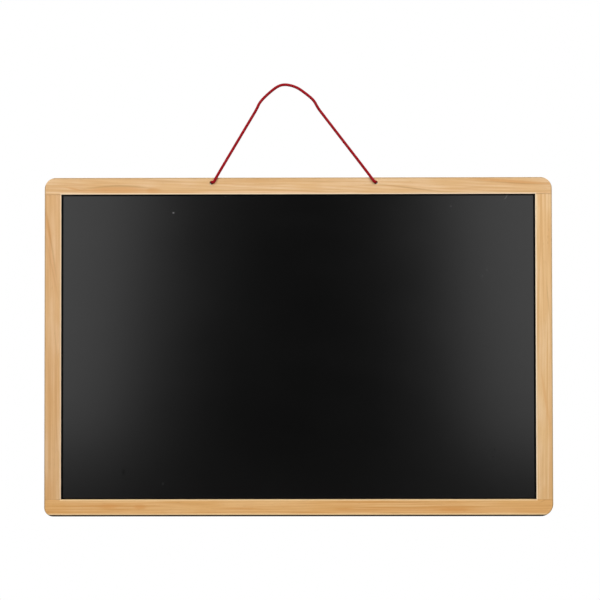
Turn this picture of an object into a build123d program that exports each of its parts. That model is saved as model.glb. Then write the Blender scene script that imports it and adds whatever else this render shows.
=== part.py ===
from build123d import *
import math
import os

# A double-sided hanging board. A grooved softwood frame holds a panel that is black in front and white behind,
# and a cord through two holes in the top rail hangs it from a peg.
# Millimetres, +X to the right, +Y to the back, +Z up. The black face looks towards -Y.
# The origin is the underside of the cord where it goes over the peg.

# Wood frame
board_width = 600
board_height = 400
board_thickness = 15
member_width = 20
groove_depth = 6
tenon_end_gap = 0.3
inner_round = 0.5
outer_round = 1.5
top_left_radius = 13
top_right_radius = 13.5
bottom_left_radius = 10.5
bottom_right_radius = 14.5

# Panel and the strip round its edge
core_thickness = 5
sheet_thickness = 0.4
strip_wall = 0.8
strip_reach = 1.2
panel_float = 0.2

# Brads, two through each end of a rail into the stile
brad_length = 30
brad_shank_diameter = 1.4
brad_head_diameter = 2.2
brad_head_thickness = 0.6
brad_point_length = 2
brad_tip_diameter = 0.3
brad_sink = 0.8
brad_inset = 11
brad_spread = 4.4
brad_clearance = 0.03

# Cord and its holes
cord_diameter = 3
cord_hole_diameter = 4.5
cord_hole_drop = 6
left_hole_inset = 197.7
hole_spacing = 194.2
seat_clearance = 0.05
swing_clearance = 0.3
cord_lean = 30

# Stopper knots: two turns round the cord, and a tail that hangs down
knot_turn_radius = 2.5
knot_gap = 0.1
knot_turn_pitch = 2.7
knot_turn_tilt = 14
tail_length = 15
tail_bow = 2
left_tail_turn = 25
right_tail_turn = -10

# Every cut runs this far past what it cuts
overrun = 1

# The free cord from the left hole over the peg to the right hole, as X and Z of its middle line, at Y zero.
# The two long runs are the cord pulled straight down to its holes.
cord_route = [
    (-86.9, -113.6),
    (-84.0, -112.5),
    (-33.5, -27.0),
    (-30.0, -19.0),
    (-19.5, -8.5),
    (-8.0, 0.5),
    (1.5, 2.0),
    (14.0, -1.5),
    (25.0, -9.5),
    (34.0, -17.0),
    (38.5, -26.0),
    (104.0, -112.5),
    (106.6, -113.6),
]

# Each bend in the cord takes up this share of the shorter run beside it
bend_share = 0.45

opening_width = board_width - 2 * member_width
opening_height = board_height - 2 * member_width
panel_thickness = core_thickness + 2 * sheet_thickness
groove_width = panel_thickness + 2 * strip_wall
strip_outer_width = opening_width + 2 * (groove_depth - panel_float)
strip_outer_height = opening_height + 2 * (groove_depth - panel_float)
panel_width = strip_outer_width - 2 * strip_wall
panel_height = strip_outer_height - 2 * strip_wall

cord_radius = cord_diameter / 2
cord_hole_radius = cord_hole_diameter / 2
cord_seat = cord_hole_radius - cord_radius - seat_clearance
seat_across = cord_seat * math.sin(math.radians(cord_lean))
seat_up = cord_seat * math.cos(math.radians(cord_lean))

# Places in the board's own frame, which has its origin at the middle of the board
left_hole_x = left_hole_inset - board_width / 2
right_hole_x = left_hole_x + hole_spacing
hole_z = board_height / 2 - cord_hole_drop
left_cord_x = left_hole_x + seat_across
right_cord_x = right_hole_x - seat_across
cord_z = hole_z + seat_up

# Where the middle of the board lies in the part's frame: the left cord end meets the start of the free cord
board_place = Pos(
    cord_route[0][0] - left_cord_x,
    cord_radius + swing_clearance + board_thickness / 2,
    cord_route[0][1] - cord_z,
)


def rounded_blank():
    """The outline of the whole frame with its four rounded corners and eased outer edges, as a solid slab."""
    outline = Rectangle(board_width, board_height)
    corners = [
        (-1, 1, top_left_radius),
        (1, 1, top_right_radius),
        (-1, -1, bottom_left_radius),
        (1, -1, bottom_right_radius),
    ]
    for side, level, radius in corners:
        place = (side * board_width / 2, level * board_height / 2)
        outline = fillet(outline.vertices().sort_by_distance(place)[0], radius)
    slab = extrude(Plane.XZ * outline, amount=board_thickness / 2, both=True)
    faces_by_depth = slab.faces().sort_by(Axis.Y)
    return fillet(faces_by_depth[0].edges() + faces_by_depth[-1].edges(), outer_round)


def y_cylinder(radius, length):
    """A cylinder along Y, centred on the origin."""
    return Rot(X=90) * Cylinder(radius, length)


def brad_place(side, level, depth):
    """Where a brad's head lies: its top is sunk below the edge of the board, and the brad points inwards."""
    place = Pos(
        side * (board_width / 2 - brad_inset),
        depth * brad_spread / 2,
        level * (board_height / 2 - brad_sink),
    )
    return place if level > 0 else place * Rot(X=180)


def brad():
    """One brad with its head's top at the origin, pointing to -Z."""
    shank_length = brad_length - brad_head_thickness - brad_point_length
    head = Pos(0, 0, -brad_head_thickness / 2) * Cylinder(brad_head_diameter / 2, brad_head_thickness)
    shank = Pos(0, 0, -brad_head_thickness - shank_length / 2) * Cylinder(brad_shank_diameter / 2, shank_length)
    point = Pos(0, 0, brad_point_length / 2 - brad_length) * Cone(
        brad_tip_diameter / 2, brad_shank_diameter / 2, brad_point_length
    )
    return head + shank + point


def brad_bore():
    """The hole a brad leaves in the wood, open to the edge of the board."""
    head_depth = brad_head_thickness + brad_sink + overrun
    head_hole = Pos(0, 0, head_depth / 2 - brad_head_thickness - brad_clearance) * Cylinder(
        brad_head_diameter / 2 + brad_clearance, head_depth
    )
    shank_hole = Pos(0, 0, -(brad_length + brad_clearance) / 2) * Cylinder(
        brad_shank_diameter / 2 + brad_clearance, brad_length + brad_clearance
    )
    return head_hole + shank_hole


def all_brad_bores(side, level):
    """Both brad holes at one corner."""
    return brad_place(side, level, -1) * brad_bore() + brad_place(side, level, 1) * brad_bore()


def rail(blank, level):
    """The top rail at level 1 or the bottom rail at level -1: full width, grooved along its inner edge."""
    stock = Pos(0, 0, level * (board_height - member_width) / 2) * Box(board_width, board_thickness, member_width)
    long_edges = stock.edges().filter_by(Axis.X).group_by(Axis.Z)
    inner_edges = long_edges[0] if level > 0 else long_edges[-1]
    stock = fillet(inner_edges, inner_round)
    groove = Pos(0, 0, level * (opening_height + groove_depth - overrun) / 2) * Box(
        board_width + 2 * overrun, groove_width, groove_depth + overrun
    )
    piece = (stock & blank) - groove
    for side in (-1, 1):
        piece -= all_brad_bores(side, level)
    return piece


def top_rail(blank):
    """The top rail, with the two holes that the cord goes through."""
    piece = rail(blank, 1)
    for x in (left_hole_x, right_hole_x):
        piece -= Pos(x, 0, hole_z) * y_cylinder(cord_hole_radius, board_thickness + 2 * overrun)
    return piece


def stile(blank, side):
    """The left stile at side -1 or the right one at side 1, with a tenon at each end in the rails' grooves."""
    middle_x = side * (board_width - member_width) / 2
    stock = Pos(middle_x, 0, 0) * Box(member_width, board_thickness, opening_height)
    long_edges = stock.edges().filter_by(Axis.Z).group_by(Axis.X)
    inner_edges = long_edges[0] if side > 0 else long_edges[-1]
    stock = fillet(inner_edges, inner_round)
    tenon_length = opening_height + 2 * (groove_depth - tenon_end_gap)
    stock += Pos(middle_x, 0, 0) * Box(member_width, groove_width, tenon_length)
    groove = Pos(side * (opening_width + groove_depth - overrun) / 2, 0, 0) * Box(
        groove_depth + overrun, groove_width, board_height
    )
    piece = (stock & blank) - groove
    for level in (-1, 1):
        piece -= all_brad_bores(side, level)
    return piece


def panel_layer(thickness, middle_y):
    """One flat layer of the panel."""
    return Pos(0, middle_y, 0) * Box(panel_width, thickness, panel_height)


def edge_strip(side, level):
    """One of the four U-shaped strips round the panel's edge, mitred at both ends."""
    lip_width = opening_width - 2 * strip_reach
    lip_height = opening_height - 2 * strip_reach
    ring = Box(strip_outer_width, groove_width, strip_outer_height)
    ring -= Box(lip_width, groove_width + 2 * overrun, lip_height)
    ring -= Box(panel_width, panel_thickness, panel_height)
    outer_x = strip_outer_width / 2
    outer_z = strip_outer_height / 2
    inner_x = lip_width / 2
    inner_z = lip_height / 2
    if level:
        points = [
            (-outer_x, level * outer_z),
            (outer_x, level * outer_z),
            (inner_x, level * inner_z),
            (-inner_x, level * inner_z),
        ]
    else:
        points = [
            (side * outer_x, -outer_z),
            (side * outer_x, outer_z),
            (side * inner_x, inner_z),
            (side * inner_x, -inner_z),
        ]
    wedge = make_face(Polyline(*points, close=True))
    return ring & extrude(Plane.XZ * wedge, amount=groove_width, both=True)


def bend_radius(before, corner, after):
    """The largest arc that the runs on both sides of a corner leave room for."""
    run_in = corner - before
    run_out = after - corner
    half_turn = math.radians(run_in.get_angle(run_out)) / 2
    return bend_share * min(run_in.length, run_out.length) / math.tan(half_turn)


def cord_tube(name, points):
    """A round cord along straight runs joined by arcs. Prints its bends and how true its volume is."""
    radii = [bend_radius(*points[i:i + 3]) for i in range(len(points) - 2)]
    path = FilletPolyline(*points, radius=radii)
    section = Plane(origin=path @ 0, z_dir=path % 0) * Circle(cord_radius)
    tube = sweep(section, path=path)
    true_volume = math.pi * cord_radius**2 * path.length
    print(name, "length", round(path.length, 1), "bend radii", [round(radius, 1) for radius in radii])
    print(name, "volume over section times length", round(tube.volume / true_volume, 5))
    return tube


def hanging_cord():
    """The free cord over the peg. Its ends are round, on the line that the board swings about."""
    points = [Vector(x, 0, z) for x, z in cord_route]
    tube = cord_tube("hanging_cord", points)
    for end in (points[0], points[-1]):
        tube += Pos(end) * Sphere(cord_radius)
    return tube


def cord_end(x):
    """The cord inside one hole, from the front of the rail to its back, pulled to the hole's upper edge."""
    return Pos(x, 0, cord_z) * y_cylinder(cord_radius, board_thickness)


def knot(name, x, tail_turn):
    """A stopper knot behind the rail: two turns lying on each other round the cord, with a tail hanging down."""
    first_turn_y = cord_radius + knot_gap
    second_turn_y = first_turn_y + knot_turn_pitch
    depth = second_turn_y + cord_radius
    core = Pos(0, depth / 2, 0) * y_cylinder(cord_radius, depth)
    first_turn = Pos(0, first_turn_y, 0) * Rot(X=90) * Torus(knot_turn_radius, cord_radius)
    second_turn = Pos(0, second_turn_y, 0) * Rot(X=90 - knot_turn_tilt) * Torus(knot_turn_radius, cord_radius)
    tail_x = knot_turn_radius
    tail_points = [
        Vector(tail_x, second_turn_y, 0),
        Vector(tail_x, second_turn_y, -tail_length / 3),
        Vector(tail_x + tail_bow, second_turn_y, -tail_length * 2 / 3),
        Vector(tail_x + tail_bow, second_turn_y - tail_bow, -tail_length),
    ]
    tail = cord_tube(name, tail_points)
    shape = core + first_turn + second_turn + Rot(Y=tail_turn) * tail
    return Pos(x, board_thickness / 2, cord_z) * shape


def build():
    """Every piece by its name. The board's pieces are made round its middle and then put in place."""
    blank = rounded_blank()
    face_y = (core_thickness + sheet_thickness) / 2
    on_board = {
        "top_rail": top_rail(blank),
        "bottom_rail": rail(blank, -1),
        "left_stile": stile(blank, -1),
        "right_stile": stile(blank, 1),
        "core_board": panel_layer(core_thickness, 0),
        "chalkboard_sheet": panel_layer(sheet_thickness, -face_y),
        "whiteboard_sheet": panel_layer(sheet_thickness, face_y),
        "top_edge_strip": edge_strip(0, 1),
        "bottom_edge_strip": edge_strip(0, -1),
        "left_edge_strip": edge_strip(-1, 0),
        "right_edge_strip": edge_strip(1, 0),
        "left_cord_end": cord_end(left_cord_x),
        "right_cord_end": cord_end(right_cord_x),
        "left_knot": knot("left_knot tail", left_cord_x, left_tail_turn),
        "right_knot": knot("right_knot tail", right_cord_x, right_tail_turn),
    }
    for level_name, level in (("top", 1), ("bottom", -1)):
        for side_name, side in (("left", -1), ("right", 1)):
            for depth_name, depth in (("front", -1), ("back", 1)):
                name = f"{level_name}_{side_name}_{depth_name}_brad"
                on_board[name] = brad_place(side, level, depth) * brad()
    pieces = {name: board_place * piece for name, piece in on_board.items()}
    pieces["hanging_cord"] = hanging_cord()
    return pieces


os.makedirs("parts", exist_ok=True)
for node, piece in build().items():
    export_step(piece, f"parts/{node}.step")
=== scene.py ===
import math

import bpy
import numpy as np
from mathutils import Matrix, Vector


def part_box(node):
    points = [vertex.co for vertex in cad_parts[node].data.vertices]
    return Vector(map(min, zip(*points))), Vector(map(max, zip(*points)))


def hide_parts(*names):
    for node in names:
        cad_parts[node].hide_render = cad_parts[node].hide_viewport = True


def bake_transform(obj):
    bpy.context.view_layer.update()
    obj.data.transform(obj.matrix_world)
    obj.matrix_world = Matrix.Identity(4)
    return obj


# The looks of a hanging board: a pine frame, a black face in front, a white one behind and a red cord.
# Metres, +X to the right, +Y to the back, +Z up. The underside of the cord over its peg is the origin.

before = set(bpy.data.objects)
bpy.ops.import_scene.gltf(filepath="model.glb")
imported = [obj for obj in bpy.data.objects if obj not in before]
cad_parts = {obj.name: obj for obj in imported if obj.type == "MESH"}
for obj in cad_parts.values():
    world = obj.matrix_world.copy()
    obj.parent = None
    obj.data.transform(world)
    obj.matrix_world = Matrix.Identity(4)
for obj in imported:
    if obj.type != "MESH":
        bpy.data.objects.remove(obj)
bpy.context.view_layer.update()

# Camera, where the photograph was taken from
camera_place = (0.02785, -1.7907, -0.28947)
camera_turn = 0.341
camera_rise = 1.158
camera_roll = -0.084
camera_lens = 91.1
camera_sensor = 36

# Cord, with the places in X and Z where its middle enters the two holes
cord_diameter = 0.003
left_hole = (-0.0869, -0.1136)
right_hole = (0.1066, -0.1136)

# The cord's middle line from the left hole over the peg to the right hole, as X and Z at Y zero.
# Each leg is straight, and has a point beside each of its two corners.
cord_route = [
    (-0.0869, -0.1136),
    (-0.0845, -0.1140),
    (-0.0830, -0.1103),
    (-0.0379, -0.0345),
    (-0.0335, -0.0270),
    (-0.0300, -0.0190),
    (-0.0195, -0.0085),
    (-0.0080, 0.0005),
    (0.0015, 0.0020),
    (0.0140, -0.0015),
    (0.0250, -0.0095),
    (0.0340, -0.0170),
    (0.0385, -0.0260),
    (0.0446, -0.0340),
    (0.1029, -0.1101),
    (0.1050, -0.1137),
    (0.1066, -0.1136),
]

# The cord's points inside a hole: how far in from the rail's front, then how far towards the board's nearer
# end and up from the hole's middle. It enters along the inner side and leaves along the outer one.
hole_way = [
    (0.0045, -0.0004, 0.0001),
    (0.0085, 0.0004, -0.0003),
    (0.0142, 0.0004, -0.0003),
]

# The stopper knot is an overhand knot laid in a ring against the back of the rail. Sizes in cord diameters.
knot_ring = 1.05
knot_swell = 0.5
knot_depth = 0.6
knot_waves_per_turn = 1.5
knot_first_angle = 195
knot_last_angle = 860
knot_steps = 24
knot_turn = 12
knot_offset = (1.08, -0.63)
knot_gap = 0.0001

# The loose end after the knot, from its hole, with Y from the back of the rail
left_tail = [
    (-0.0010, 0.0017, -0.0042),
    (-0.0040, 0.0017, -0.0062),
    (-0.0062, 0.0020, -0.0098),
    (-0.0070, 0.0018, -0.0150),
]
right_tail = [
    (0.0012, 0.0017, -0.0040),
    (0.0042, 0.0017, -0.0054),
    (0.0070, 0.0022, -0.0078),
    (0.0088, 0.0020, -0.0120),
]

# Braid of the cord
braid_strands = 8
braid_advance = 0.0014
braid_relief = 0.00014
braid_fullness = 0.0002
braid_dip = 0.6
cord_sides = 40
cord_ring_spacing = 0.0003

# The melted end, and how much it tapers
seal_length = 0.0012
seal_taper = 0.9

# Yarns across one strand of the braid
braid_yarns = 4


def colour(red, green, blue):
    """A colour from its 0 to 255 screen values, as light."""
    def light(level):
        share = level / 255
        return share / 12.92 if share < 0.04045 else ((share + 0.055) / 1.055) ** 2.4
    return (light(red), light(green), light(blue), 1.0)


# Red braid, its hollows and its melted ends
cord_red = colour(178, 6, 25)
cord_faded = colour(181, 17, 34)
cord_shadow = colour(124, 4, 14)
cord_sealed = colour(70, 6, 10)

# The black face, with the share of chalk in its wiped film and its dust, and how uneven its gloss is
coating_black = colour(1, 1, 1)
chalk_grey = colour(150, 150, 150)
chalk_roughness = 0.21
chalk_shine = 0.39
chalk_film = 0.0015
chalk_dust = 0.02
coating_unevenness = 0.03
polish_depth = 0.09

# The white face, with what wiped marks leave on it
enamel_white = colour(244, 245, 245)
ghost_grey = colour(232, 234, 236)
speck_grey = colour(120, 120, 125)

# Tints of the pine, as shares of the red, green and blue of its member's tone, with the strength of some
clear_tint = (1.03, 1.05, 1.1)
warm_tint = (0.97, 0.92, 0.81)
late_wood_tint = (0.88, 0.72, 0.5)
fibre_tint = (0.82, 0.68, 0.5)
fibre_strength = 0.4
streak_tint = (0.85, 0.7, 0.47)
flame_tint = (0.87, 0.66, 0.4)
vein_tint = (0.68, 0.54, 0.3)
fleck_tint = (0.6, 0.46, 0.32)
fleck_strength = 0.4
end_grain_tint = (0.72, 0.6, 0.46)
end_grain_strength = 0.55

# How many rings the soft waver of the grain bends
ring_waver = 1.5

# Painted shade on the round-over at the board's outer edges, and painted highlights on the edges round the
# panel and just above the dark line under the board
rim_depth = 0.0019
rim_full_depth = 0.0009
rim_shade_strength = 0.85
rim_shade_tint = (0.62, 0.6, 0.5)
arris_depth = 0.0018
arris_full_depth = 0.0013
arris_highlight_strength = 0.9
arris_highlight_tint = (1.14, 1.34, 1.75)
lower_highlight_reach = 0.0044

# Shade in the joints between the rails and the stiles, and under the board
joint_reach = 0.0004
joint_strength = 0.5
joint_tint = (0.5, 0.4, 0.28)
under_reach = 0.0025
under_full_reach = 0.0017
under_tint = (0.05, 0.04, 0.03)

# Painted shade on the walls beside the panel, but for the lower one, which faces up into the light, and
# inside the cord's holes. The holes are wider than the cord, which lies against their inner upper side, so
# their middles are not the cord's.
recess_shade_tint = (0.015, 0.012, 0.012)
shade_inset = 0.0003
shade_full_inset = 0.0001
hole_radius = 0.00225
left_hole_middle = (-0.08725, -0.1142)
right_hole_middle = (0.10695, -0.1142)

# The box of the wood frame, and of the opening that the panel fills
board_low = Vector((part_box("top_rail")[0].x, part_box("top_rail")[0].y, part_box("bottom_rail")[0].z))
board_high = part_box("top_rail")[1]
board_middle = (board_low + board_high) / 2
board_half_width = (board_high.x - board_low.x) / 2
board_half_depth = (board_high.y - board_low.y) / 2
board_half_height = (board_high.z - board_low.z) / 2
opening_low = Vector((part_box("left_stile")[1].x, 0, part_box("bottom_rail")[1].z))
opening_high = Vector((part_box("right_stile")[0].x, 0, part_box("top_rail")[0].z))
opening_half_width = (opening_high.x - opening_low.x) / 2
opening_half_height = (opening_high.z - opening_low.z) / 2

# Half the width and height that the edge strips leave of the black face, and the matte margin beside them
face_half_width = (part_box("right_edge_strip")[0].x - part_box("left_edge_strip")[1].x) / 2
face_half_height = (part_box("top_edge_strip")[0].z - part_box("bottom_edge_strip")[1].z) / 2
side_margin = 0.0006
end_margin = 0.0003
margin_dulling = 0.6

# The frame's members. A flame is its place along and across the member, half length, half width and lean,
# then how many rings it bends and how much warmer it is. A vein is a thin darker line: its place,
# half length, half width, lean and bow, then its strength.
members = {
    "top_rail": {
        "lies": True, "tone": (229, 190, 141), "ring_width": 0.0034, "lean": -0.05, "pith": (-0.165, 0.03),
        "contrast": 0.7, "figure": 0.75, "seed": 3.1,
        "flames": [
            ((-0.1985, -0.1229, 0.0400, 0.0038, 0.0), 1.2, 0.85),
            ((-0.1558, -0.1236, 0.0085, 0.0034, 0.0), 0.0, 0.60),
            ((-0.2499, -0.1215, 0.0125, 0.0011, -0.22), 0.3, 0.70),
            ((0.2625, -0.1129, 0.0480, 0.0019, -0.07), 0.4, 0.80),
        ],
        "veins": [
            ((-0.1967, -0.1179, 0.0330, 0.0011, 0.0, -2.2), 0.85),
            ((0.1477, -0.1209, 0.0340, 0.0008, -0.117, 0.0), 0.75),
            ((0.2696, -0.1153, 0.0360, 0.0007, -0.06, 0.0), 0.65),
            ((-0.1420, -0.1123, 0.0200, 0.0011, -0.05, 0.0), 0.30),
            ((0.0388, -0.1129, 0.0300, 0.0009, -0.03, 0.0), 0.35),
        ],
    },
    "bottom_rail": {
        "lies": True, "tone": (232, 183, 119), "ring_width": 0.0029, "lean": 0.012, "pith": (-0.452, 0.022),
        "contrast": 0.85, "figure": 1.0, "seed": 11.7,
        "flames": [
            ((-0.2091, -0.4963, 0.0110, 0.0028, 0.0), 0.0, 0.60),
            ((-0.1718, -0.4968, 0.0072, 0.0030, 0.0), 0.0, 0.65),
            ((-0.0558, -0.4985, 0.0230, 0.0013, 0.0), 0.2, 0.55),
            ((0.1737, -0.5000, 0.1160, 0.0020, 0.0), 0.5, 0.45),
            ((0.1962, -0.5000, 0.0180, 0.0023, 0.0), 0.3, 0.40),
            ((0.0684, -0.4990, 0.0120, 0.0012, 0.0), 0.0, 0.45),
        ],
        "veins": [
            ((0.1252, -0.5040, 0.0150, 0.0008, 0.0, 0.0), 0.50),
            ((0.1536, -0.4914, 0.0300, 0.0008, 0.0, 0.0), 0.35),
            ((-0.1200, -0.4930, 0.0240, 0.0007, 0.0, 0.0), 0.35),
            ((0.3036, -0.4897, 0.0050, 0.0008, 0.5, 0.0), 0.45),
        ],
    },
    "left_stile": {
        "lies": False, "tone": (225, 183, 133), "ring_width": 0.0042, "lean": -0.03, "pith": (-0.322, 0.024),
        "contrast": 0.75, "figure": 0.8, "seed": 5.3,
        "flames": [
            ((-0.2100, -0.2765, 0.0380, 0.0034, -0.16), 0.8, 0.40),
            ((-0.1683, -0.2801, 0.0190, 0.0019, -0.157), 0.0, 0.85),
            ((-0.4780, -0.2800, 0.0160, 0.0060, 0.0), 0.0, 0.30),
        ],
        "veins": [
            ((-0.1893, -0.2764, 0.0400, 0.0009, -0.157, 0.0), 0.55),
            ((-0.2167, -0.2756, 0.0280, 0.0007, -0.209, 0.0), 0.40),
            ((-0.3080, -0.2710, 0.0260, 0.0006, -0.11, 0.0), 0.30),
        ],
    },
    "right_stile": {
        "lies": False, "tone": (234, 196, 146), "ring_width": 0.0031, "lean": 0.008, "pith": (0.365, 0.03),
        "contrast": 0.8, "figure": 0.9, "seed": 8.9,
        "flames": [
            ((-0.3735, 0.3069, 0.0360, 0.0016, -0.153), 0.3, 0.50),
            ((-0.1360, 0.3005, 0.0080, 0.0016, 0.0), 0.0, 0.40),
            ((-0.4800, 0.3050, 0.0080, 0.0022, 0.0), 0.0, 0.30),
        ],
        "veins": [
            ((-0.2532, 0.3099, 0.0260, 0.0007, -0.087, 0.0), 0.50),
            ((-0.1825, 0.3141, 0.0014, 0.0007, 0.0, 0.0), 0.90),
            ((-0.1790, 0.3100, 0.0016, 0.0006, 0.0, 0.0), 0.60),
            ((-0.1860, 0.3098, 0.0018, 0.0006, 0.0, 0.0), 0.50),
        ],
    },
}

# Marks on the black face: place in X and Z, half width, half height and lean, then strength
chalk_grains = [
    ((-0.1328, -0.1495, 0.0010, 0.0007, 0.0), 0.60),
    ((0.1962, -0.1424, 0.0009, 0.0009, 0.0), 0.12),
    ((0.2619, -0.1308, 0.0022, 0.0008, 1.25), 0.30),
    ((-0.0710, -0.1300, 0.0008, 0.0007, 0.0), 0.15),
    ((0.2384, -0.2178, 0.0011, 0.0009, 0.0), 0.05),
    ((0.2331, -0.2249, 0.0012, 0.0010, 0.0), 0.05),
    ((-0.1452, -0.4700, 0.0010, 0.0010, 0.0), 0.06),
]

# Spots on it that are smoother than the rest, or duller where the strength is below zero
polish_spots = [
    ((-0.1919, -0.4562, 0.0014, 0.0042, 0.0), 1.0),
    ((-0.1919, -0.4790, 0.0014, 0.0035, 0.0), 0.5),
    ((0.2442, -0.4386, 0.0018, 0.0018, 0.0), -1.8),
    ((0.2466, -0.4300, 0.0020, 0.0014, 0.0), -0.9),
]

# Softboxes. Places are across from the board's middle, ahead and up.
front_box_place = (0.85, -1.42, 0.19)
front_box_aim = (0.015, 0.0, -0.25)
front_box_size = (1.2, 1.6)
front_box_shift = 0.01
front_box_level = 2.06
top_box_place = (0.0, -1.0, 1.1)
top_box_size = (1.6, 0.8)
top_box_level = 1.5
back_box_place = (1.0, 1.3, 0.3)
back_box_size = (1.2, 1.5)
back_box_level = 2.6

# How bright the room is low down and high up, as light on the board and as its gloss mirrors it
room_low = 0.04
room_high = 0.4
gloss_low = 0.075
gloss_high = 0.004

# The floor, which is pale where the camera sees it and dimmer in the light that it throws back up
floor_z = -0.72
floor_radius = 2.2
floor_sides = 96
floor_fade_start = 0.25
floor_fade_end = 0.55
floor_pale = colour(250, 250, 249)
floor_bounce = colour(120, 120, 118)


class Value:
    """A number, colour or vector that a node gives. Arithmetic on numbers adds the nodes that work it out."""

    def __init__(self, graph, socket):
        self.graph = graph
        self.socket = socket

    def math(self, operation, first, second=0.0):
        return self.graph.node("ShaderNodeMath", {"operation": operation}, {0: first, 1: second})

    def __add__(self, other):
        return self.math("ADD", self, other)

    def __radd__(self, other):
        return self.math("ADD", other, self)

    def __sub__(self, other):
        return self.math("SUBTRACT", self, other)

    def __rsub__(self, other):
        return self.math("SUBTRACT", other, self)

    def __mul__(self, other):
        return self.math("MULTIPLY", self, other)

    def __rmul__(self, other):
        return self.math("MULTIPLY", other, self)

    def __truediv__(self, other):
        return self.math("DIVIDE", self, other)

    def __pow__(self, other):
        return self.math("POWER", self, other)

    def __neg__(self):
        return self.math("MULTIPLY", self, -1.0)

    def __abs__(self):
        return self.math("ABSOLUTE", self)

    def __mod__(self, other):
        return self.math("FLOORED_MODULO", self, other)


class Graph:
    """The nodes of one material or of the world."""

    def __init__(self, tree):
        self.tree = tree

    def node(self, kind, settings=None, inputs=None, output=0):
        """Adds one node: its settings first, then the values or links of its sockets."""
        made = self.tree.nodes.new(kind)
        for name, setting in (settings or {}).items():
            setattr(made, name, setting)
        for socket, value in (inputs or {}).items():
            self.join(made, socket, value)
        return Value(self, made.outputs[output])

    def join(self, node, socket, value):
        """Gives a node's socket a link or a plain value."""
        if isinstance(value, Value):
            self.tree.links.new(value.socket, node.inputs[socket])
        else:
            node.inputs[socket].default_value = value

    def place(self):
        """Where the surface is, in the part's frame: X, Y and Z."""
        where = self.node("ShaderNodeTexCoord", output="Object")
        return [self.node("ShaderNodeSeparateXYZ", None, {0: where}, axis) for axis in range(3)]

    def vector(self, x, y, z):
        return self.node("ShaderNodeCombineXYZ", None, {0: x, 1: y, 2: z})

    def floor(self, value):
        return self.node("ShaderNodeMath", {"operation": "FLOOR"}, {0: value})

    def distance(self, one_way, other_way):
        """How far two places are apart, from how far they are apart along two axes."""
        return self.node("ShaderNodeMath", {"operation": "SQRT"}, {0: one_way ** 2 + other_way ** 2})

    def kept_in_range(self, value):
        """The value kept between 0 and 1."""
        return self.node("ShaderNodeClamp", None, {0: value})

    def noise(self, where, scale=1.0, detail=2.0, roughness=0.5):
        """Soft noise from 0 to 1 that changes over about 1 / scale."""
        inputs = {"Vector": where, "Scale": scale, "Detail": detail, "Roughness": roughness}
        return self.node("ShaderNodeTexNoise", None, inputs)

    def fade(self, value, low, high, start=0.0, end=1.0):
        """Goes smoothly from start to end as the value goes from low to high."""
        inputs = {0: value, 1: low, 2: high, 3: start, 4: end}
        return self.node("ShaderNodeMapRange", {"interpolation_type": "SMOOTHSTEP"}, inputs)

    def blend(self, share, first, second):
        """Mixes two colours."""
        return self.node("ShaderNodeMix", {"data_type": "RGBA"}, {0: share, 6: first, 7: second}, 2)


class Finish(Graph):
    """A material in the making, with one principled shader."""

    def __init__(self, name, **constants):
        self.material = bpy.data.materials.new(name)
        self.material.use_nodes = True
        super().__init__(self.material.node_tree)
        self.surface = self.tree.nodes["Principled BSDF"]
        for words, value in constants.items():
            self.feed(words.replace("_", " ").title().replace("Ior", "IOR"), value)

    def feed(self, socket, value):
        self.join(self.surface, socket, value)

    def near_edge(self, off_middle, half_size, depth, full_depth):
        """1 from the full depth to the edge that lies half the size off the middle, 0 beyond the depth."""
        return self.fade(abs(off_middle), half_size - depth, half_size - full_depth)

    def rim(self, x, z):
        """1 at the board's outer edges, 0 further in."""
        sideways = self.near_edge(x - board_middle.x, board_half_width, rim_depth, rim_full_depth)
        upwards = self.near_edge(z - board_middle.z, board_half_height, rim_depth, rim_full_depth)
        return sideways + upwards * (1 - sideways)

    def inner_edge(self, x, z, full_depth, depth):
        """1 on the wood beside the panel up to the full depth from it, and 0 beyond the depth."""
        out, up = abs(x - board_middle.x), abs(z - board_middle.z)
        sideways = self.fade(out, opening_half_width + full_depth, opening_half_width + depth, 1.0, 0.0)
        upwards = self.fade(up, opening_half_height + full_depth, opening_half_height + depth, 1.0, 0.0)
        return sideways * upwards

    def lower_edge(self, z, full_reach, reach):
        """1 on the wood up to the full reach above the board's lowest edge, and 0 beyond the reach."""
        return self.fade(z, board_low.z + full_reach, board_low.z + reach, 1.0, 0.0)

    def joint(self, x, z):
        """1 in the joints between the rails and the stiles, 0 away from them."""
        out, up = abs(x - board_middle.x), abs(z - board_middle.z)
        from_joint = abs(up - opening_half_height)
        beside_panel = self.fade(out, opening_half_width, opening_half_width + joint_reach)
        return self.fade(from_joint, 0.0, joint_reach, 1.0, 0.0) * beside_panel

    def relief(self, height, depth):
        """Bumps the surface: height is from 0 to 1, and depth the length that 1 stands for."""
        return self.node("ShaderNodeBump", None, {"Height": height, "Distance": depth})


def make_camera():
    """The camera at the photograph's place and angle."""
    lens = bpy.data.cameras.new("camera")
    lens.lens = camera_lens
    lens.sensor_width = camera_sensor
    lens.sensor_fit = "HORIZONTAL"
    camera = bpy.data.objects.new("camera", lens)
    camera.matrix_world = (
        Matrix.Translation(camera_place)
        @ Matrix.Rotation(math.radians(camera_turn), 4, "Z")
        @ Matrix.Rotation(math.radians(90 + camera_rise), 4, "X")
        @ Matrix.Rotation(math.radians(camera_roll), 4, "Z")
    )
    bpy.context.scene.collection.objects.link(camera)
    bpy.context.scene.camera = camera


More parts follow.
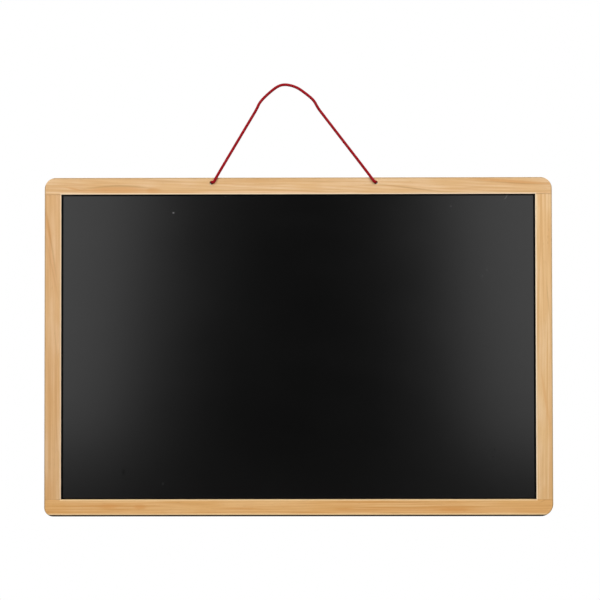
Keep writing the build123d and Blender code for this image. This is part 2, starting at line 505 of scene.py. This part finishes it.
def knot_points(hole, side, back_y):
    """The knot's points from the hole outwards. The ring lies right of the hole for side 1, left for -1."""
    middle_x = hole[0] + side * knot_offset[0] * cord_diameter
    middle_z = hole[1] + knot_offset[1] * cord_diameter
    middle_y = back_y + knot_gap + (knot_depth + 0.5) * cord_diameter
    points = []
    for angle in np.linspace(knot_first_angle, knot_last_angle, knot_steps):
        wave = math.radians(knot_waves_per_turn * angle)
        reach = cord_diameter * (knot_ring + knot_swell * math.cos(wave))
        depth = cord_diameter * knot_depth * math.sin(wave)
        turned = math.radians(-angle - knot_turn)
        x = middle_x + side * reach * math.cos(turned)
        points.append((x, middle_y + depth, middle_z + reach * math.sin(turned)))
    return points


def cord_half(hole, side, tail):
    """The cord's points from just inside one hole to its loose end."""
    front_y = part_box("top_rail")[0].y
    back_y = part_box("top_rail")[1].y
    points = [(hole[0] - side * outwards, front_y + depth, hole[1] + up) for depth, outwards, up in hole_way]
    points += knot_points(hole, side, back_y)
    points += [(hole[0] + x, back_y + y, hole[1] + z) for x, y, z in tail]
    return points


def smooth_line(points):
    """The points along the smooth curve that a row of control points draws."""
    data = bpy.data.curves.new("cord_line", "CURVE")
    data.dimensions = "3D"
    spline = data.splines.new("NURBS")
    spline.points.add(len(points) - 1)
    for control, place in zip(spline.points, points):
        control.co = (*place, 1)
    spline.order_u = 3
    spline.use_endpoint_u = True
    spline.resolution_u = 24
    guide = bpy.data.objects.new("cord_line", data)
    bpy.context.scene.collection.objects.link(guide)
    bpy.context.view_layer.update()
    mesh = bpy.data.meshes.new_from_object(guide)
    line = [vertex.co.copy() for vertex in mesh.vertices]
    bpy.data.objects.remove(guide)
    bpy.data.curves.remove(data)
    bpy.data.meshes.remove(mesh)
    return line


def even_line(line, spacing):
    """Points at even steps along a line."""
    line = np.array(line)
    runs = np.linalg.norm(np.diff(line, axis=0), axis=1)
    reached = np.concatenate([[0], np.cumsum(runs)])
    places = np.linspace(0, reached[-1], int(reached[-1] / spacing) + 1)
    return np.stack([np.interp(places, reached, line[:, axis]) for axis in range(3)], axis=1), places


def tube_frames(line):
    """Two directions square to the line at each of its points. They don't twist round it."""
    ahead = np.gradient(line, axis=0)
    ahead /= np.linalg.norm(ahead, axis=1)[:, None]
    side = np.cross(ahead[0], (0, 0, 1))
    sides = []
    for direction in ahead:
        side = side - direction * (side @ direction)
        side = side / np.linalg.norm(side)
        sides.append(side)
    sides = np.array(sides)
    return sides, np.cross(ahead, sides)


def braid_height(around, along):
    """How high the braid stands, from 0 between its strands to 1 on their crowns."""
    one_way = braid_strands * around + along / braid_advance
    other_way = braid_strands * around - along / braid_advance
    over = (np.floor(one_way) + np.floor(other_way)) % 2
    across = np.where(over > 0, one_way, other_way) % 1
    lengthways = np.where(over > 0, other_way, one_way) % 1
    crown = 1 - (2 * across - 1) ** 2
    dip = 1 - braid_dip * (2 * lengthways - 1) ** 4
    return crown * dip


def tube_faces(rings):
    """The faces of a tube, closed at each end round a point that comes after the points of its rings."""
    faces = []
    for row in range(rings - 1):
        start = row * cord_sides
        for column in range(cord_sides):
            next_column = (column + 1) % cord_sides
            faces.append((
                start + column, start + next_column,
                start + cord_sides + next_column, start + cord_sides + column,
            ))
    last = (rings - 1) * cord_sides
    for column in range(cord_sides):
        next_column = (column + 1) % cord_sides
        faces.append((rings * cord_sides, next_column, column))
        faces.append((rings * cord_sides + 1, last + column, last + next_column))
    return faces


def wind_cord(mesh, places):
    """Lays out the cord's surface: once round it in U, and its length in V."""
    rings = len(places)
    winding = mesh.uv_layers.new(name="braid")
    loops = np.zeros(len(mesh.loops), np.int64)
    mesh.loops.foreach_get("vertex_index", loops)
    column = loops % cord_sides
    row = np.minimum(loops // cord_sides, rings - 1)
    starts = np.zeros(len(mesh.polygons), np.int64)
    mesh.polygons.foreach_get("loop_start", starts)
    wraps = np.zeros(len(loops), bool)
    quads = starts[: (rings - 1) * cord_sides]
    for corner in (1, 2):
        wraps[quads + corner] = column[quads + corner] == 0
    u = column / cord_sides + wraps
    winding.data.foreach_set("uv", np.stack([u, places[row]], axis=1).ravel())


def mark_cord(mesh, name, shares, at_ends):
    """Gives each of the cord's points a share, and the two that close its ends the one for the ends."""
    mark = mesh.attributes.new(name, "FLOAT", "POINT")
    mark.data.foreach_set("value", np.concatenate([shares.ravel(), [at_ends, at_ends]]).astype(np.float32))


def cord_mesh(line, places):
    """The braided cord round its middle line, closed at both ends."""
    sides, ups = tube_frames(line)
    around = np.arange(cord_sides) / cord_sides
    to_end = np.minimum(places, places[-1] - places)
    sealed = np.clip(1 - to_end / seal_length, 0, 1)[:, None]
    height = braid_height(around[None, :], places[:, None]) * (1 - sealed)
    reach = cord_diameter / 2 + braid_fullness - braid_relief * (1 - height)
    reach = reach * np.sqrt(np.clip(1 - seal_taper * sealed**3, 0, 1))
    angle = around * 2 * math.pi
    ring = sides[:, None] * np.cos(angle)[None, :, None] + ups[:, None] * np.sin(angle)[None, :, None]
    shell = line[:, None] + ring * reach[:, :, None]
    points = np.concatenate([shell.reshape(-1, 3), line[:1], line[-1:]])
    mesh = bpy.data.meshes.new("cord")
    mesh.from_pydata(points.tolist(), [], tube_faces(len(line)))
    mesh.shade_smooth()
    wind_cord(mesh, places)
    mark_cord(mesh, "crown", height, 0)
    mark_cord(mesh, "seal", np.broadcast_to(sealed, height.shape), 1)
    return mesh


def make_cord():
    """The whole cord: a loose end, a knot, the loop over the peg, the other knot and its loose end."""
    left = cord_half(left_hole, 1, left_tail)
    right = cord_half(right_hole, -1, right_tail)
    points = left[::-1] + [(x, 0, z) for x, z in cord_route] + right
    line, places = even_line(smooth_line(points), cord_ring_spacing)
    cord = bpy.data.objects.new("cord", cord_mesh(line, places))
    bpy.context.scene.collection.objects.link(cord)
    cord.data.materials.append(cord_finish())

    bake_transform(cord)
    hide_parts("hanging_cord", "left_cord_end", "right_cord_end", "left_knot", "right_knot")
    print("cord length", round(float(places[-1]), 4))


def cord_finish():
    """Red braid: darker between the strands, with fine yarns along each strand and melted, darker ends."""
    finish = Finish("red_braid")
    crown = finish.node("ShaderNodeAttribute", {"attribute_name": "crown"}, output="Fac")
    seal = finish.node("ShaderNodeAttribute", {"attribute_name": "seal"}, output="Fac")
    winding = finish.node("ShaderNodeUVMap", {"uv_map": "braid"})
    around = finish.node("ShaderNodeSeparateXYZ", None, {0: winding}, 0) * braid_strands
    along = finish.node("ShaderNodeSeparateXYZ", None, {0: winding}, 1) / braid_advance
    one_way = around + along
    other_way = around - along
    over = (finish.floor(one_way) + finish.floor(other_way)) % 2
    across = one_way * over + other_way * (1 - over)
    yarns = finish.node("ShaderNodeMath", {"operation": "SINE"}, {0: across * (2 * math.pi * braid_yarns)})
    x, y, z = finish.place()
    fibre = finish.noise(finish.vector(x, y, z), 2600, 3, 0.7)
    patch = finish.noise(finish.vector(x, y, z), 70, 2)
    depth = crown * (0.8 + 0.2 * fibre) + 0.08 * yarns * crown
    shade = finish.blend(depth, cord_shadow, cord_red)
    shade = finish.blend(finish.fade(patch, 0.35, 0.7) * 0.25, shade, cord_faded)
    finish.feed("Base Color", finish.blend(seal, shade, cord_sealed))
    finish.feed("Roughness", 0.72 - 0.4 * seal + 0.12 * fibre)
    finish.feed("Normal", finish.relief(0.5 + 0.5 * yarns * (1 - seal) + 0.6 * fibre, 0.00004))
    finish.feed("Sheen Weight", 0.06)
    finish.feed("Sheen Tint", (0.8, 0.1, 0.1, 1))
    finish.feed("Specular IOR Level", 0.2)
    return finish.material


def spot(finish, along, across, mark, bow=0.0, edge=1):
    """A soft elongated spot, 1 in its middle: place along and across, half length, half width and lean.

    The bow bends it, and a higher edge makes its outline sharper.
    """
    middle_along, middle_across, half_length, half_width, lean = mark
    past = along - middle_along
    beside = across - middle_across - past * lean - past ** 2 * bow
    out = (past / half_length) ** 2 + (beside / half_width) ** 2
    return finish.node("ShaderNodeMath", {"operation": "EXPONENT"}, {0: -(out ** edge)})


def tinted(tone, tint):
    """A tone with its red, green and blue each multiplied by a share."""
    return (tone[0] * tint[0], tone[1] * tint[1], tone[2] * tint[2], 1.0)


def recess_shade(finish, x, deep, z, holes):
    """1 on the walls beside the panel and inside the cord's holes, where shade is painted, 0 on the rest of
    the wood.
    """
    into_front = finish.fade(deep, board_low.y, board_low.y + shade_inset)
    into_back = finish.fade(deep, board_high.y - shade_inset, board_high.y, 1.0, 0.0)
    wall = finish.inner_edge(x, z, shade_full_inset, shade_inset)
    for hole in holes:
        from_middle = finish.distance(x - hole[0], z - hole[1])
        from_wall = from_middle - hole_radius
        drilled = finish.fade(from_wall, shade_full_inset, shade_inset, 1.0, 0.0)
        wall = wall + drilled * (1 - wall)
    return wall * into_front * into_back


def pine_finish(name):
    """Clear pine of one member: rings bent by its flames, fibres, resin flecks, end grain, and painted shade
    and highlights on its eased edges, joints and recess walls.
    """
    member = members[name]
    tone = colour(*member["tone"])
    finish = Finish(name + "_pine", coat_weight=0.08, coat_roughness=0.35)
    x, deep, z = finish.place()
    along, across = (x, z) if member["lies"] else (z, x)

    def drawn_out(lengthways, crossways, detail, roughness=0.5, shift=member["seed"]):
        """Noise that changes about this often in a metre along the member and across it."""
        where = finish.vector(along * lengthways + shift, across * crossways, deep * crossways)
        return finish.noise(where, 1.0, detail, roughness)

    pith_across, pith_deep = member["pith"]
    from_pith = finish.distance(across - along * member["lean"] - pith_across, deep - pith_deep)
    rings = from_pith / member["ring_width"] + (drawn_out(5, 45, 3, 0.55) - 0.5) * ring_waver
    warmth = 0.0
    for place, bend, warm in member["flames"]:
        flame = spot(finish, along, across, place, edge=2)
        rings = rings + flame * bend
        warmth = flame * warm + warmth
    veins = 0.0
    for (*place, bow), strength in member["veins"]:
        veins = spot(finish, along, across, place, bow) * strength + veins
    phase = rings % 1
    late_wood = finish.fade(phase, 0.3, 0.88) * (1 - finish.fade(phase, 0.93, 1.0))
    late_wood = late_wood * finish.fade(drawn_out(9, 110, 2), 0.3, 0.72, 0.12, 1.0) * member["contrast"]
    fibres = drawn_out(38, 1500, 3, 0.65, shift=0.0)
    streaks = finish.fade(drawn_out(7, 330, 2, 0.6), 0.46, 0.7)
    flecks = finish.fade(drawn_out(150, 1900, 1), 0.69, 0.78)
    clouds = finish.fade(drawn_out(16, 60, 2), 0.35, 0.65)

    facing = finish.node("ShaderNodeTexCoord", output="Normal")
    end_axis = 0 if member["lies"] else 2
    towards_end = finish.node("ShaderNodeSeparateXYZ", None, {0: facing}, end_axis)
    end_grain = finish.fade(abs(towards_end), 0.55, 0.95)

    near_face = finish.near_edge(deep - board_middle.y, board_half_depth, rim_depth, rim_full_depth)
    lower_highlight = finish.lower_edge(z, under_reach, lower_highlight_reach)
    under = finish.lower_edge(z, under_full_reach, under_reach)
    layers = [
        (late_wood, late_wood_tint),
        (finish.fade(fibres, 0.42, 0.75) * fibre_strength, fibre_tint),
        (streaks * member["figure"], streak_tint),
        (finish.kept_in_range(warmth), flame_tint),
        (finish.kept_in_range(veins), vein_tint),
        (flecks * fleck_strength, fleck_tint),
        (end_grain * end_grain_strength, end_grain_tint),
        # Painted shade on the board's outer round-over
        (finish.rim(x, z) * near_face * rim_shade_strength, rim_shade_tint),
        # Painted highlights on the edges round the panel and just above the dark line under the board
        (finish.inner_edge(x, z, arris_full_depth, arris_depth) * arris_highlight_strength, arris_highlight_tint),
        (lower_highlight * near_face * arris_highlight_strength, arris_highlight_tint),
        (finish.joint(x, z) * joint_strength, joint_tint),
        (under * near_face, under_tint),
    ]
    # Painted shade on the recess walls and hole walls; the bottom rail's wall faces up into the light and
    # gets none
    if name != "bottom_rail":
        holes = (left_hole_middle, right_hole_middle) if name == "top_rail" else ()
        layers.append((recess_shade(finish, x, deep, z, holes), recess_shade_tint))
    shade = finish.blend(clouds, tinted(tone, clear_tint), tinted(tone, warm_tint))
    for share, tint in layers:
        shade = finish.blend(share, shade, tinted(tone, tint))
    finish.feed("Base Color", shade)
    finish.feed("Roughness", 0.5 - 0.1 * late_wood + 0.12 * fibres + 0.2 * end_grain)
    finish.feed("Normal", finish.relief(late_wood * 0.5 + fibres * 0.5 - flecks * 0.6, 0.00005))
    return finish.material


def chalk_finish():
    """Satin black chalk coating: fine tooth, wiped streaks, chalk grains, worn spots and a matte margin."""
    finish = Finish("black_chalk_coating", specular_ior_level=chalk_shine)
    x, y, z = finish.place()
    light_marks = 0.0
    for place, strength in chalk_grains:
        light_marks = spot(finish, x, z, place) * strength + light_marks
    polish = 0.0
    for place, strength in polish_spots:
        polish = spot(finish, x, z, place) * strength + polish
    at_sides = finish.near_edge(x - board_middle.x, face_half_width, side_margin, side_margin / 2)
    at_ends = finish.near_edge(z - board_middle.z, face_half_height, end_margin, end_margin / 2)
    margin = at_sides + at_ends * (1 - at_sides)
    tooth = finish.noise(finish.vector(x, y, z), 2400, 2, 0.6)
    wipes = finish.noise(finish.vector(x * 7 + z * 2, y, z * 26), 1.0, 4, 0.6)
    haze = finish.noise(finish.vector(x, y, z), 6, 3, 0.55)
    dust = finish.fade(finish.noise(finish.vector(x, y, z), 520, 1), 0.74, 0.82)
    film = (finish.fade(wipes, 0.4, 0.85) + finish.fade(haze, 0.4, 0.75)) * chalk_film
    chalk = finish.kept_in_range(film + dust * chalk_dust + light_marks)
    finish.feed("Base Color", finish.blend(chalk, coating_black, chalk_grey))
    uneven = coating_unevenness * (wipes + haze - 1) - polish_depth * polish
    finish.feed("Roughness", chalk_roughness + uneven + margin_dulling * margin)
    finish.feed("Normal", finish.relief(tooth, 0.000002))
    return finish.material


def marker_finish():
    """Glossy white marker coating: a faint ripple, and the ghost of wiped marks."""
    finish = Finish("white_marker_coating", coat_weight=0.3, coat_roughness=0.05)
    x, y, z = finish.place()
    ripple = finish.noise(finish.vector(x, y, z), 260, 2)
    wipes = finish.noise(finish.vector(x * 9 + z * 5, y, z * 30 - x * 6), 1.0, 4, 0.6)
    haze = finish.noise(finish.vector(x, y, z), 8, 3, 0.6)
    specks = finish.fade(finish.noise(finish.vector(x, y, z), 420, 1), 0.77, 0.84)
    ghost = finish.fade(wipes, 0.5, 0.85) * 0.35 + finish.fade(haze, 0.4, 0.8) * 0.3
    shade = finish.blend(ghost, enamel_white, ghost_grey)
    shade = finish.blend(specks * 0.35, shade, speck_grey)
    finish.feed("Base Color", shade)
    finish.feed("Roughness", 0.14 + 0.1 * ghost)
    finish.feed("Normal", finish.relief(ripple, 0.000012))
    return finish.material


def strip_finish():
    """Matte black extruded strip, with fine lines along its length. Its black also stands in for the shade in
    the recess round the panel.
    """
    finish = Finish("black_edge_strip", roughness=0.9, specular_ior_level=0.03)
    x, y, z = finish.place()
    lines = finish.noise(finish.vector(x * 900, y * 5200, z * 900), 1.0, 2)
    finish.feed("Base Color", finish.blend(lines, colour(1, 1, 1), colour(6, 5, 5)))
    finish.feed("Normal", finish.relief(lines, 0.00002))
    return finish.material


def core_finish():
    """Raw fibreboard: pressed brown fibres."""
    finish = Finish("raw_fibreboard", roughness=0.92)
    x, y, z = finish.place()
    fibres = finish.noise(finish.vector(x * 300, y * 1800, z * 300), 1.0, 4, 0.7)
    chips = finish.noise(finish.vector(x, y, z), 900, 2)
    shade = finish.blend(fibres, colour(132, 98, 66), colour(176, 140, 100))
    finish.feed("Base Color", finish.blend(finish.fade(chips, 0.6, 0.75) * 0.5, shade, colour(98, 70, 46)))
    finish.feed("Normal", finish.relief(fibres, 0.00012))
    return finish.material


def steel_finish():
    """Bright drawn steel, with fine lines round the shank and a faint tarnish."""
    finish = Finish("bright_steel", metallic=1.0)
    x, y, z = finish.place()
    lines = finish.noise(finish.vector(x * 700, y * 700, z * 9000), 1.0, 2)
    tarnish = finish.noise(finish.vector(x, y, z), 600, 3)
    shade = finish.blend(finish.fade(tarnish, 0.4, 0.75), colour(186, 186, 184), colour(140, 136, 128))
    finish.feed("Base Color", shade)
    finish.feed("Roughness", 0.28 + 0.16 * lines)
    finish.feed("Normal", finish.relief(lines, 0.000012))
    return finish.material


def dress(node, material):
    """Gives a piece of the frame its finish."""
    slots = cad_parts[node].data.materials
    slots.clear()
    slots.append(material)


def softbox(name, place, aim, width, height, level):
    """A soft lamp that looks at a point. Its level is the brightness of its face."""
    data = bpy.data.lights.new(name, "AREA")
    data.shape = "RECTANGLE"
    data.size = width
    data.size_y = height
    data.energy = level * math.pi * width * height
    lamp = bpy.data.objects.new(name, data)
    lamp.location = place
    lamp.rotation_euler = (Vector(aim) - Vector(place)).to_track_quat("-Z", "Y").to_euler()
    lamp.visible_camera = False
    bpy.context.scene.collection.objects.link(lamp)


def make_light():
    """Two tall softboxes in front, either side of the camera, one above it and two behind the board."""
    across, ahead, up = top_box_place
    softbox("top_softbox", (board_middle.x + across, ahead, up), board_middle, *top_box_size, top_box_level)
    for side, side_name in ((-1, "left"), (1, "right")):
        across, ahead, up = front_box_place
        place = (board_middle.x + side * across - front_box_shift, ahead, up)
        softbox(side_name + "_front_softbox", place, front_box_aim, *front_box_size, front_box_level)
        across, ahead, up = back_box_place
        place = (board_middle.x + side * across, ahead, up)
        softbox(side_name + "_back_softbox", place, board_middle, *back_box_size, back_box_level)


def make_world():
    """White wherever the camera looks.

    Gloss sees white behind the board, and before it a dark room with a dim floor.
    """
    world = bpy.data.worlds.new("studio")
    world.use_nodes = True
    bpy.context.scene.world = world
    graph = Graph(world.node_tree)
    background = graph.tree.nodes["Background"]
    camera = graph.node("ShaderNodeLightPath", output="Is Camera Ray")
    glossy = graph.node("ShaderNodeLightPath", output="Is Glossy Ray")
    through = graph.node("ShaderNodeLightPath", output="Is Transmission Ray")
    direction = graph.node("ShaderNodeTexCoord", output="Generated")
    behind = graph.node("ShaderNodeSeparateXYZ", None, {0: direction}, 1)
    up = graph.node("ShaderNodeSeparateXYZ", None, {0: direction}, 2)
    seen = camera + (glossy + through) * graph.fade(behind, 0.0, 0.3)
    mirrored = graph.fade(up, -0.15, 0.0, gloss_low, gloss_high)
    room = graph.fade(up, -0.4, 0.4, room_low, room_high) * (1 - glossy) + glossy * mirrored
    graph.join(background, "Color", (1, 1, 1, 1))
    graph.join(background, "Strength", graph.kept_in_range(seen + room * (1 - graph.kept_in_range(seen))))


def make_floor():
    """A plain pale floor under the board.

    It keeps the board's shadow, turns white further out and is clear from below.
    """
    ring = []
    for side in range(floor_sides):
        turn = 2 * math.pi * side / floor_sides
        out_x, out_y = floor_radius * math.cos(turn), floor_radius * math.sin(turn)
        ring.append((board_middle.x + out_x, board_middle.y + out_y, floor_z))
    mesh = bpy.data.meshes.new("floor")
    mesh.from_pydata(ring, [], [tuple(range(floor_sides))])
    floor = bpy.data.objects.new("floor", mesh)
    bpy.context.scene.collection.objects.link(floor)
    finish = Finish("pale_floor", roughness=0.95, specular_ior_level=0.1)
    x, y, z = finish.place()
    out = finish.distance(x - board_middle.x, y - board_middle.y)
    camera = finish.node("ShaderNodeLightPath", output="Is Camera Ray")
    finish.feed("Base Color", finish.blend(camera, floor_bounce, floor_pale))
    white = finish.node("ShaderNodeEmission", None, {"Color": (1, 1, 1, 1), "Strength": 1.0})
    share = finish.fade(out, floor_fade_start, floor_fade_end) * camera
    lit = Value(finish, finish.surface.outputs[0])
    mixed = finish.node("ShaderNodeMixShader", None, {0: share, 1: lit, 2: white})
    underside = finish.node("ShaderNodeNewGeometry", output="Backfacing") * camera
    clear = finish.node("ShaderNodeBsdfTransparent")
    mixed = finish.node("ShaderNodeMixShader", None, {0: underside, 1: mixed, 2: clear})
    finish.join(finish.tree.nodes["Material Output"], 0, mixed)
    mesh.materials.append(finish.material)


make_camera()
make_cord()
make_world()
make_light()
make_floor()

for member_name in members:
    dress(member_name, pine_finish(member_name))
dress("chalkboard_sheet", chalk_finish())
dress("whiteboard_sheet", marker_finish())
dress("core_board", core_finish())
strip = strip_finish()
steel = steel_finish()
for node_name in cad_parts:
    if node_name.endswith("strip"):
        dress(node_name, strip)
    if node_name.endswith("brad"):
        dress(node_name, steel)

bpy.context.scene.view_settings.view_transform = "Standard"
